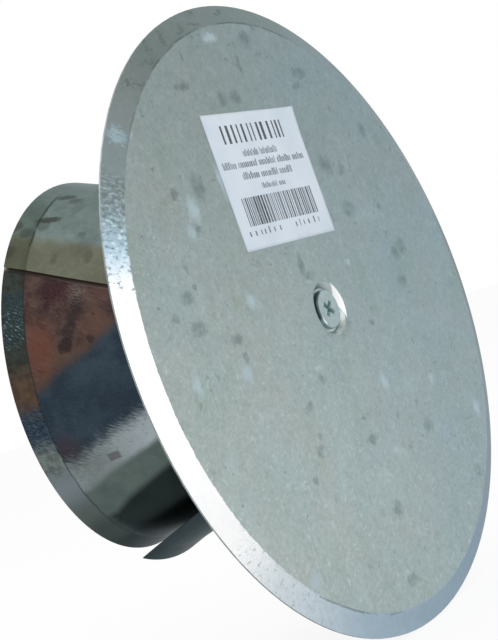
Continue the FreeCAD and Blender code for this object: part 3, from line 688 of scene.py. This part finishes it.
# Stains on the outer shell: turn, depth, half widths and share
OUTER_STAINS = [
    (108.6, 75.6, 1.7, 3.2, 0.75), (111.4, 71.2, 1.9, 2.4, 0.55), (122.4, 76.2, 1.3, 4.4, 0.85),
    (125.0, 77.0, 2.6, 2.4, 0.45), (116.0, 68.0, 4.5, 2.0, 0.25), (125.2, 86.8, 2.2, 2.2, 0.65),
    (128.0, 82.0, 2.2, 2.4, 0.55), (135.5, 86.2, 2.2, 2.2, 0.6), (103.0, 66.0, 3.0, 2.0, 0.25),
    (131.0, 62.0, 1.8, 1.6, 0.4), (140.0, 58.0, 2.4, 1.6, 0.35), (139.5, 70.0, 2.0, 1.2, 0.3),
]


def outer_funnel_material():
    shader = Shader("galvanised_outer_funnel_finish")
    degrees, depth, look = funnel_place(shader, OUTER_AXES)
    fine = hatch(shader, degrees, depth, 1.8, 0.6)
    cloud = shader.noise(75.0, 4.0, 0.6)
    smoke = shader.noise(170.0, 5.0, 0.65)
    grit = shader.noise(420.0, 3.0, 0.6)
    crisp = shader.sum(degrees, shader.swing(smoke, 4.0))
    sunk = shader.sum(depth, shader.swing(smoke, 5.0))

    # Painted reflections: grey-green, and khaki past a slanting border
    green = shader.between(cloud, 0.3, 0.7, rgb(96, 110, 106), rgb(114, 128, 125))
    green = shader.between(fine, 0.55, 0.75, green, rgb(134, 148, 146), 0.3)
    khaki = shader.between(cloud, 0.3, 0.7, rgb(90, 92, 78), rgb(104, 106, 91))
    border = shader.follow(depth, (50, 137.0), (79, 130.5), (87, 128.5))
    colour = shader.mix(beyond(shader, crisp, border, 4.5), green, khaki)
    # Painted shade darkens the band behind the crease
    ragged = shader.sum(depth, shader.swing(grit, 0.9))
    behind = shader.step(ragged, OUTER_CREASE_DEPTH, OUTER_CREASE_DEPTH + 0.6)
    band_shade = shader.times(behind, shader.step(degrees, 106, 122))
    colour = shader.tint(band_shade, colour, 0.66, 0.68, 0.62)
    for turn, deep, half_turn, half_depth, share in OUTER_STAINS:
        stain = patch(shader, crisp, sunk, turn, deep, half_turn, half_depth, 0.8)
        colour = shader.paint(colour, rgb(54, 57, 50), stain, share)
    colour = shader.tint(shader.step(grit, 0.42, 0.68), colour, 1.12, 1.12, 1.12)
    # The tab's dark teal is a painted reflection
    tab_reflection = shader.between(cloud, 0.3, 0.7, rgb(26, 40, 44), rgb(36, 52, 57))
    colour = shader.between(degrees, 236, 242, colour, tab_reflection)

    plain, _ = plain_zinc(shader, *SHELL_ZINC)
    unseen = shader.math("MAXIMUM", shader.step(degrees, 298, 318), shader.step(degrees, 86, 72))
    outside = shader.math("GREATER_THAN", look, OUTSIDE_LOOK)
    painted = shader.times(outside, shader.less(1.0, unseen))
    colour = shader.mix(painted, plain, colour)
    # The crease shows as a broken dark line of painted shade
    broken = shader.step(shader.noise(150.0, 3.0, 0.6), 0.42, 0.56, 0.2, 1.0)
    broken = shader.times(broken, shader.step(degrees, 102, 112))
    line = shader.times(crease_line(shader, depth, OUTER_CREASE_DEPTH + 0.3, 0.8), broken, outside)
    colour = shader.paint(colour, rgb(40, 44, 38), line, 0.8)

    # The cut edges along the slit, and the inside beside them, get the same lighter tone as painted light
    # that lifts their shade
    cut = shader.step(look, OUTSIDE_LOOK, 0.15)
    beside = shader.span(degrees, 122, 134, 250, 262)
    colour = shader.mix(shader.times(cut, beside), colour, SEAM_GAP_LIFT)
    return funnel_finish(shader, colour, cloud, fine, 0.3)


# Strap, screw, nut and label

def strap_material():
    shader = Shader("galvanised_strap_finish")
    colour, mottle = plain_zinc(shader, rgb(118, 125, 125), rgb(168, 174, 173))
    rough = shader.sum(shader.times(mottle, 0.25), 0.28)
    normal = shader.bump(shader.noise(900.0, 3.0, 0.6), 0.02 * MM, 0.7)
    return shader.finish(colour, rough, 0.9, normal)


def zinc_material():
    """Bright zinc plate; the head's rim has painted shade at the upper left and a painted highlight at the
    lower left.
    """
    shader = Shader("zinc_plate_finish")
    x, y, z = shader.split(shader.place)
    radius = shader.vector("LENGTH", shader.join(x, 0.0, z))
    degrees = shader.turned(x, z)
    behind_front = shader.less(y, HEAD_FRONT_Y)
    cloud = shader.noise(380.0, 4.0, 0.6)
    colour = shader.between(cloud, 0.3, 0.7, rgb(150, 170, 173), rgb(167, 184, 187))
    on_head = shader.step(behind_front, HEAD_HEIGHT + 0.05 * MM, HEAD_HEIGHT - 0.05 * MM)
    # The cross recess is painted lighter to lift its shade
    recess = shader.times(
        shader.step(behind_front, 0.06 * MM, 0.3 * MM), shader.step(radius, 4.4 * MM, 4.0 * MM))
    colour = shader.paint(colour, rgb(160, 180, 180), recess, on_head)
    # A painted highlight on the rounded edge at the lower left, and painted shade on the rim at the upper
    # left
    lower_left = shader.span(degrees, 190, 200, 220, 232)
    edge = shader.times(shader.span(radius, 6.2 * MM, 6.5 * MM, 6.8 * MM, 7.0 * MM), on_head)
    colour = shader.mix(shader.times(edge, lower_left, 0.9), colour, rgb(240, 248, 250))
    upper_left = shader.span(degrees, 92, 115, 195, 215)
    dark = shader.times(shader.step(radius, 6.3 * MM, 6.9 * MM), upper_left, on_head)
    colour = shader.paint(colour, rgb(44, 54, 56), dark, 0.85)

    # The head's side, behind its rounded edge: painted shade at the left, and below it a lighter tone
    # painted to lift its shade
    side = shader.times(
        shader.step(behind_front, 0.42 * MM, 0.6 * MM), shader.step(radius, 6.8 * MM, 7.0 * MM), on_head)
    left = shader.times(side, shader.span(degrees, 85, 110, 195, 215))
    colour = shader.mix(left, colour, rgb(70, 84, 86))
    colour = shader.paint(colour, rgb(160, 172, 174), side, shader.step(degrees, 195, 215))
    rough = shader.sum(shader.times(cloud, 0.2), 0.2)
    normal = shader.bump(shader.noise(1400.0, 3.0, 0.6), 0.01 * MM, 0.6)
    return shader.finish(colour, rough, 0.95, normal)


def paper_material():
    shader = Shader("white_paper_finish")
    fibre = shader.noise(1800.0, 4.0, 0.7)
    cloud = shader.noise(60.0, 3.0)
    colour = shader.between(cloud, 0.3, 0.7, rgb(194, 207, 219), rgb(206, 217, 227))
    colour = shader.paint(colour, rgb(226, 232, 238), fibre, 0.15)
    normal = shader.bump(fibre, 0.01 * MM, 0.5)
    return shader.finish(colour, 0.62, 0.0, normal, Specular_IOR_Level=0.35)


def ink_material(name, colour):
    shader = Shader(name)
    worn = shader.noise(2400.0, 3.0, 0.7)
    tone = shader.between(worn, 0.5, 0.85, colour, rgb(168, 176, 186))
    return shader.finish(tone, 0.5, 0.0)


def dress(thing, material):
    """Give a piece one material."""
    thing.data.materials.clear()
    thing.data.materials.append(material)
    for polygon in thing.data.polygons:
        polygon.material_index = 0


def add_object(name, data):
    """A new object in the scene."""
    thing = bpy.data.objects.new(name, data)
    bpy.context.scene.collection.objects.link(thing)
    return thing


def new_piece(name, mesh_maker, slot_name, *materials):
    """A new mesh piece on the one body, filled by a function that gets an empty bmesh."""
    mesh = bpy.data.meshes.new(name)
    filled = bmesh.new()
    mesh_maker(filled)
    bmesh.ops.recalc_face_normals(filled, faces=filled.faces)
    filled.to_mesh(mesh)
    filled.free()
    piece = add_object(name, mesh)
    for material in materials:
        mesh.materials.append(material)
    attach(piece, "root")
    return piece


# Screw with its thread

THREAD_PITCH = 1.0 * MM
THREAD_DEPTH = 0.55 * MM
THREAD_STARTS_Y = -0.2 * MM
CUT_Y = 0.2 * MM
TURN_STEPS = 36
PITCH_STEPS = 6
# How steeply a thread rises from its root, and how much of that rise is cut off as a flat root
FLANK = 1.6
ROOT_FLAT = 0.3


def thread_radius(y, turn):
    """Crests and valleys that climb one pitch for each turn, ending in a chamfered tip."""
    share = (y / THREAD_PITCH - turn / (2 * math.pi)) % 1.0
    rise = min(1.0, max(0.0, FLANK * abs(2 * share - 1) - ROOT_FLAT))
    deep = THREAD_DEPTH * min(1.0, (y - THREAD_STARTS_Y) / THREAD_PITCH)
    cut = THREAD_RADIUS - deep * (1.0 - rise)
    return min(cut, THREAD_RADIUS - TIP_CHAMFER + (TIP_Y - y))


def screw_mesh(mesh):
    """The CAD head down to the bottom of the dimple, on a threaded shank."""
    mesh.from_mesh(nodes["centre_screw"].data)
    bmesh.ops.remove_doubles(mesh, verts=mesh.verts, dist=1e-7)
    whole = mesh.verts[:] + mesh.edges[:] + mesh.faces[:]
    cut = bmesh.ops.bisect_plane(
        mesh, geom=whole, plane_co=(0.0, CUT_Y, 0.0), plane_no=(0.0, 1.0, 0.0), clear_outer=True)
    rim = [part for part in cut["geom_cut"] if isinstance(part, bmesh.types.BMEdge)]
    bmesh.ops.edgeloop_fill(mesh, edges=rim)

    rows = int(round((TIP_Y - THREAD_STARTS_Y) / THREAD_PITCH * PITCH_STEPS))
    rings = []
    for row in range(rows + 1):
        y = THREAD_STARTS_Y + (TIP_Y - THREAD_STARTS_Y) * row / rows
        ring = []
        for i in range(TURN_STEPS):
            turn = 2 * math.pi * i / TURN_STEPS
            radius = thread_radius(y, turn)
            ring.append(mesh.verts.new((radius * math.cos(turn), y, radius * math.sin(turn))))
        rings.append(ring)
    for lower, upper in zip(rings, rings[1:]):
        for i in range(TURN_STEPS):
            j = (i + 1) % TURN_STEPS
            mesh.faces.new((lower[i], upper[i], upper[j], lower[j]))
    mesh.faces.new(rings[0])
    mesh.faces.new(list(reversed(rings[-1])))


# Label: a sheet that lifts at one corner, printed with plain bars

PAPER = 0.1 * MM
GLUE_Y = FACE_Y - 0.01 * MM
LABEL_COLUMNS = 48
LABEL_ROWS = 40
INK_DEPTH = 0.012 * MM
# The lifted corner: how far it stands off, and how far from it the sheet begins to lift
LIFT_HEIGHT = 0.55 * MM
LIFT_REACH = 14 * MM
# Rows of print in millimetres: left, right, bottom, top, narrowest and widest stroke
TITLE_ROW = (-30.0, 10.0, 63.6, 70.2, 0.7, 1.7)
TEXT_ROWS = [
    (-21.0, 3.0, 58.6, 61.2, 0.35, 0.8),
    (-36.0, 18.0, 54.8, 57.4, 0.35, 0.9),
    (-26.0, 7.0, 50.6, 53.2, 0.35, 0.9),
    (-16.0, 0.0, 46.6, 48.6, 0.35, 0.8),
]
FIGURE_ROW = (-34.0, 15.0, 31.0, 33.4, 0.5, 1.0)
STRIPE_ROW = (-32.0, 15.0, 34.4, 44.4, 0.3, 1.3)
# Narrowest and widest gap between stripes, in millimetres
TITLE_GAPS = (1.4, 2.8)
STRIPE_GAPS = (0.3, 0.9)
# Stretch of the stripe row that is printed paler, and the share of dark stripes in it and beside it
PALE_FROM = -19.0
PALE_TO = -3.0
PALE_DARKS = 0.1
OTHER_DARKS = 0.8
# Share of tall strokes in a text row, and the height of the others as a share of theirs
TALL_STROKES = 0.35
SHORT_HEIGHT = 0.72
PRINT_SEED = 11
DARK_INK = 0
GREY_INK = 1


def lift(x, z):
    """How far the sheet stands off the plate at its lifted upper right corner."""
    from_corner = (label_high.x - x) + (label_high.z - z)
    curl = max(0.0, 1.0 - from_corner / LIFT_REACH)
    return LIFT_HEIGHT * curl ** 2


def label_mesh(mesh):
    """A closed thin sheet."""
    sides = []
    for thickness in (0.0, PAPER):
        grid = []
        for row in range(LABEL_ROWS + 1):
            z = label_low.z + (label_high.z - label_low.z) * row / LABEL_ROWS
            line = []
            for column in range(LABEL_COLUMNS + 1):
                x = label_low.x + (label_high.x - label_low.x) * column / LABEL_COLUMNS
                line.append(mesh.verts.new((x, GLUE_Y - lift(x, z) - thickness, z)))
            grid.append(line)
        sides.append(grid)
    for grid in sides:
        for low, high in zip(grid, grid[1:]):
            for i in range(LABEL_COLUMNS):
                mesh.faces.new((low[i], low[i + 1], high[i + 1], high[i]))
    back, front = sides
    borders = [(back[0], front[0]), (back[-1], front[-1])]
    borders.append(([line[0] for line in back], [line[0] for line in front]))
    borders.append(([line[-1] for line in back], [line[-1] for line in front]))
    for behind, ahead in borders:
        for i in range(len(behind) - 1):
            mesh.faces.new((behind[i], behind[i + 1], ahead[i + 1], ahead[i]))


def bar(mesh, left, right, bottom, top, shade):
    """One printed bar, a very thin block that follows the sheet."""
    corners = []
    for x, z in ((left, bottom), (right, bottom), (right, top), (left, top)):
        surface = GLUE_Y - lift(x * MM, z * MM) - PAPER
        for y in (surface + INK_DEPTH, surface - INK_DEPTH):
            corners.append(mesh.verts.new((x * MM, y, z * MM)))
    inner = corners[0::2]
    outer = corners[1::2]
    faces = [mesh.faces.new(outer), mesh.faces.new(list(reversed(inner)))]
    for i in range(4):
        j = (i + 1) % 4
        faces.append(mesh.faces.new((inner[i], inner[j], outer[j], outer[i])))
    for face in faces:
        face.material_index = shade


def print_row(mesh, draw, row, shade, gap, group):
    """Strokes of uneven width and height, with a wider gap after each group."""
    left, right, bottom, top, narrow, wide = row
    x = left
    count = 0
    while x < right:
        width = draw.uniform(narrow, wide)
        tall = top if draw.random() < TALL_STROKES else bottom + (top - bottom) * SHORT_HEIGHT
        bar(mesh, x, min(x + width, right), bottom, tall, shade)
        count += 1
        x += width + gap * draw.uniform(0.7, 1.3)
        if count >= group * draw.uniform(0.8, 1.6):
            x += 3 * gap
            count = 0


def stripe_row(mesh, draw, row, gaps, pick_shade):
    """Stripes of one height and of uneven width and spacing."""
    left, right, bottom, top, narrow, wide = row
    x = left
    while x < right:
        width = draw.uniform(narrow, wide)
        bar(mesh, x, min(x + width, right), bottom, top, pick_shade(x))
        x += width + draw.uniform(*gaps)


def print_mesh(mesh):
    """All the print: a title row of stripes, rows of small strokes and a field of stripes."""
    draw = random.Random(PRINT_SEED)

    def stripe_shade(x):
        darks = PALE_DARKS if PALE_FROM < x < PALE_TO else OTHER_DARKS
        return DARK_INK if draw.random() < darks else GREY_INK

    stripe_row(mesh, draw, TITLE_ROW, TITLE_GAPS, lambda x: DARK_INK)
    for row in TEXT_ROWS:
        print_row(mesh, draw, row, GREY_INK, gap=0.4, group=9)
    print_row(mesh, draw, FIGURE_ROW, GREY_INK, gap=2.4, group=7)
    stripe_row(mesh, draw, STRIPE_ROW, STRIPE_GAPS, stripe_shade)


zinc_finish = zinc_material()
dress(nodes["cover_plate"], plate_material())
dress(nodes["outer_funnel_shell"], outer_funnel_material())
dress(nodes["inner_funnel_shell"], inner_funnel_material())
dress(nodes["spreader_strap"], strap_material())
dress(nodes["strap_nut"], zinc_finish)

screw = new_piece("threaded_screw", screw_mesh, "zinc_screw", zinc_finish)
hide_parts("centre_screw")
label = new_piece("label_sheet", label_mesh, "white_paper", paper_material())
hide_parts("paper_label")
for polygon in label.data.polygons:
    polygon.use_smooth = True
dark_ink = ink_material("dark_ink_finish", rgb(48, 54, 64))
grey_ink = ink_material("grey_ink_finish", rgb(104, 112, 122))
new_piece("label_print", print_mesh, "white_paper", dark_ink, grey_ink)


# Stage: floor, world, lamps

WORLD_LIGHT = 0.78
FLOOR_GLOW = 0.88
FLOOR_HALF = 6.0


def only_seen(tree):
    """1 for rays from the camera or from glossy and clear surfaces, 0 for light on the object."""
    path = tree.nodes.new("ShaderNodeLightPath")
    total = path.outputs["Is Camera Ray"]
    for name in ("Is Glossy Ray", "Is Transmission Ray"):
        add = tree.nodes.new("ShaderNodeMath")
        add.operation = "ADD"
        add.use_clamp = True
        tree.links.new(total, add.inputs[0])
        tree.links.new(path.outputs[name], add.inputs[1])
        total = add.outputs[0]
    return total


def join_shaders(tree, share, lit, seen, output_kind):
    """One shader for the light on the object, and another by the share for rays that see the stage."""
    mix = tree.nodes.new("ShaderNodeMixShader")
    tree.links.new(share, mix.inputs[0])
    tree.links.new(lit.outputs[0], mix.inputs[1])
    tree.links.new(seen.outputs[0], mix.inputs[2])
    output = tree.nodes.new(output_kind)
    tree.links.new(mix.outputs[0], output.inputs["Surface"])


def make_world():
    world = bpy.data.worlds.new("studio")
    bpy.context.scene.world = world
    world.use_nodes = True
    tree = world.node_tree
    tree.nodes.clear()
    seen = tree.nodes.new("ShaderNodeBackground")
    seen.inputs["Strength"].default_value = 1.0
    seen.inputs["Color"].default_value = (1.0, 1.0, 1.0, 1.0)
    ambient = tree.nodes.new("ShaderNodeBackground")
    ambient.inputs["Strength"].default_value = WORLD_LIGHT
    ambient.inputs["Color"].default_value = (1.0, 1.0, 1.0, 1.0)
    join_shaders(tree, only_seen(tree), ambient, seen, "ShaderNodeOutputWorld")


def make_floor():
    mesh = bpy.data.meshes.new("studio_floor")
    corners = []
    for x, y in ((-1, -1), (1, -1), (1, 1), (-1, 1)):
        corners.append((x * FLOOR_HALF, y * FLOOR_HALF, -PLATE_RADIUS))
    mesh.from_pydata(corners, [], [(0, 1, 2, 3)])
    floor = add_object("studio_floor", mesh)
    material = bpy.data.materials.new("pale_floor")
    material.use_nodes = True
    tree = material.node_tree
    tree.nodes.clear()
    matt = tree.nodes.new("ShaderNodeBsdfDiffuse")
    matt.inputs["Color"].default_value = rgb(252, 252, 252)
    glow = tree.nodes.new("ShaderNodeEmission")
    glow.inputs["Color"].default_value = (1.0, 1.0, 1.0, 1.0)
    glow.inputs["Strength"].default_value = 1.0
    share = tree.nodes.new("ShaderNodeMath")
    share.operation = "MULTIPLY"
    share.inputs[1].default_value = FLOOR_GLOW
    tree.links.new(only_seen(tree), share.inputs[0])
    join_shaders(tree, share.outputs[0], matt, glow, "ShaderNodeOutputMaterial")
    mesh.materials.append(material)


def softbox(name, place, width, power, target=(0.0, 0.03, 0.0)):
    light = bpy.data.lights.new(name, "AREA")
    light.shape = "SQUARE"
    light.size = width
    light.energy = power
    lamp = add_object(name, light)
    lamp.location = place
    direction = Vector(target) - Vector(place)
    lamp.rotation_euler = direction.to_track_quat("-Z", "Y").to_euler()


make_world()
make_floor()
softbox("key_light", (-0.7, -1.0, 1.1), 0.9, 5.0)
softbox("fill_light", (0.1, -1.2, -0.05), 0.7, 1.5)
softbox("back_light", (-0.2, 0.7, 1.2), 0.8, 2.5)


# Camera: seen from the left at 60 degrees to the plate's axis, turned about its line of sight

EYE = Vector((-0.4591, -0.2701, -0.0028))
VIEW_RIGHT = Vector((0.5241, -0.7832, -0.3345))
VIEW_UP = Vector((0.1613, -0.2943, 0.9420))
FOCAL_PIXELS = 1503.0
SENSOR = 36.0
# Pixel of the photograph in which the line of sight ends
SIGHT_X = 243.2
SIGHT_Y = 302.9


def make_camera():
    data = bpy.data.cameras.new("camera")
    data.sensor_fit = "HORIZONTAL"
    data.sensor_width = SENSOR
    data.lens = FOCAL_PIXELS / PHOTO_WIDTH * SENSOR
    data.shift_x = (PHOTO_WIDTH / 2 - SIGHT_X) / PHOTO_WIDTH
    data.shift_y = (SIGHT_Y - PHOTO_HEIGHT / 2) / PHOTO_WIDTH
    data.clip_start = 0.01
    camera = add_object("camera", data)
    right = VIEW_RIGHT.normalized()
    up = (VIEW_UP - right * VIEW_UP.dot(right)).normalized()
    back = right.cross(up)
    turn = Matrix((right, up, back)).transposed().to_4x4()
    camera.matrix_world = Matrix.Translation(EYE) @ turn
    bpy.context.scene.camera = camera


make_camera()
bpy.context.scene.view_settings.view_transform = "Standard"
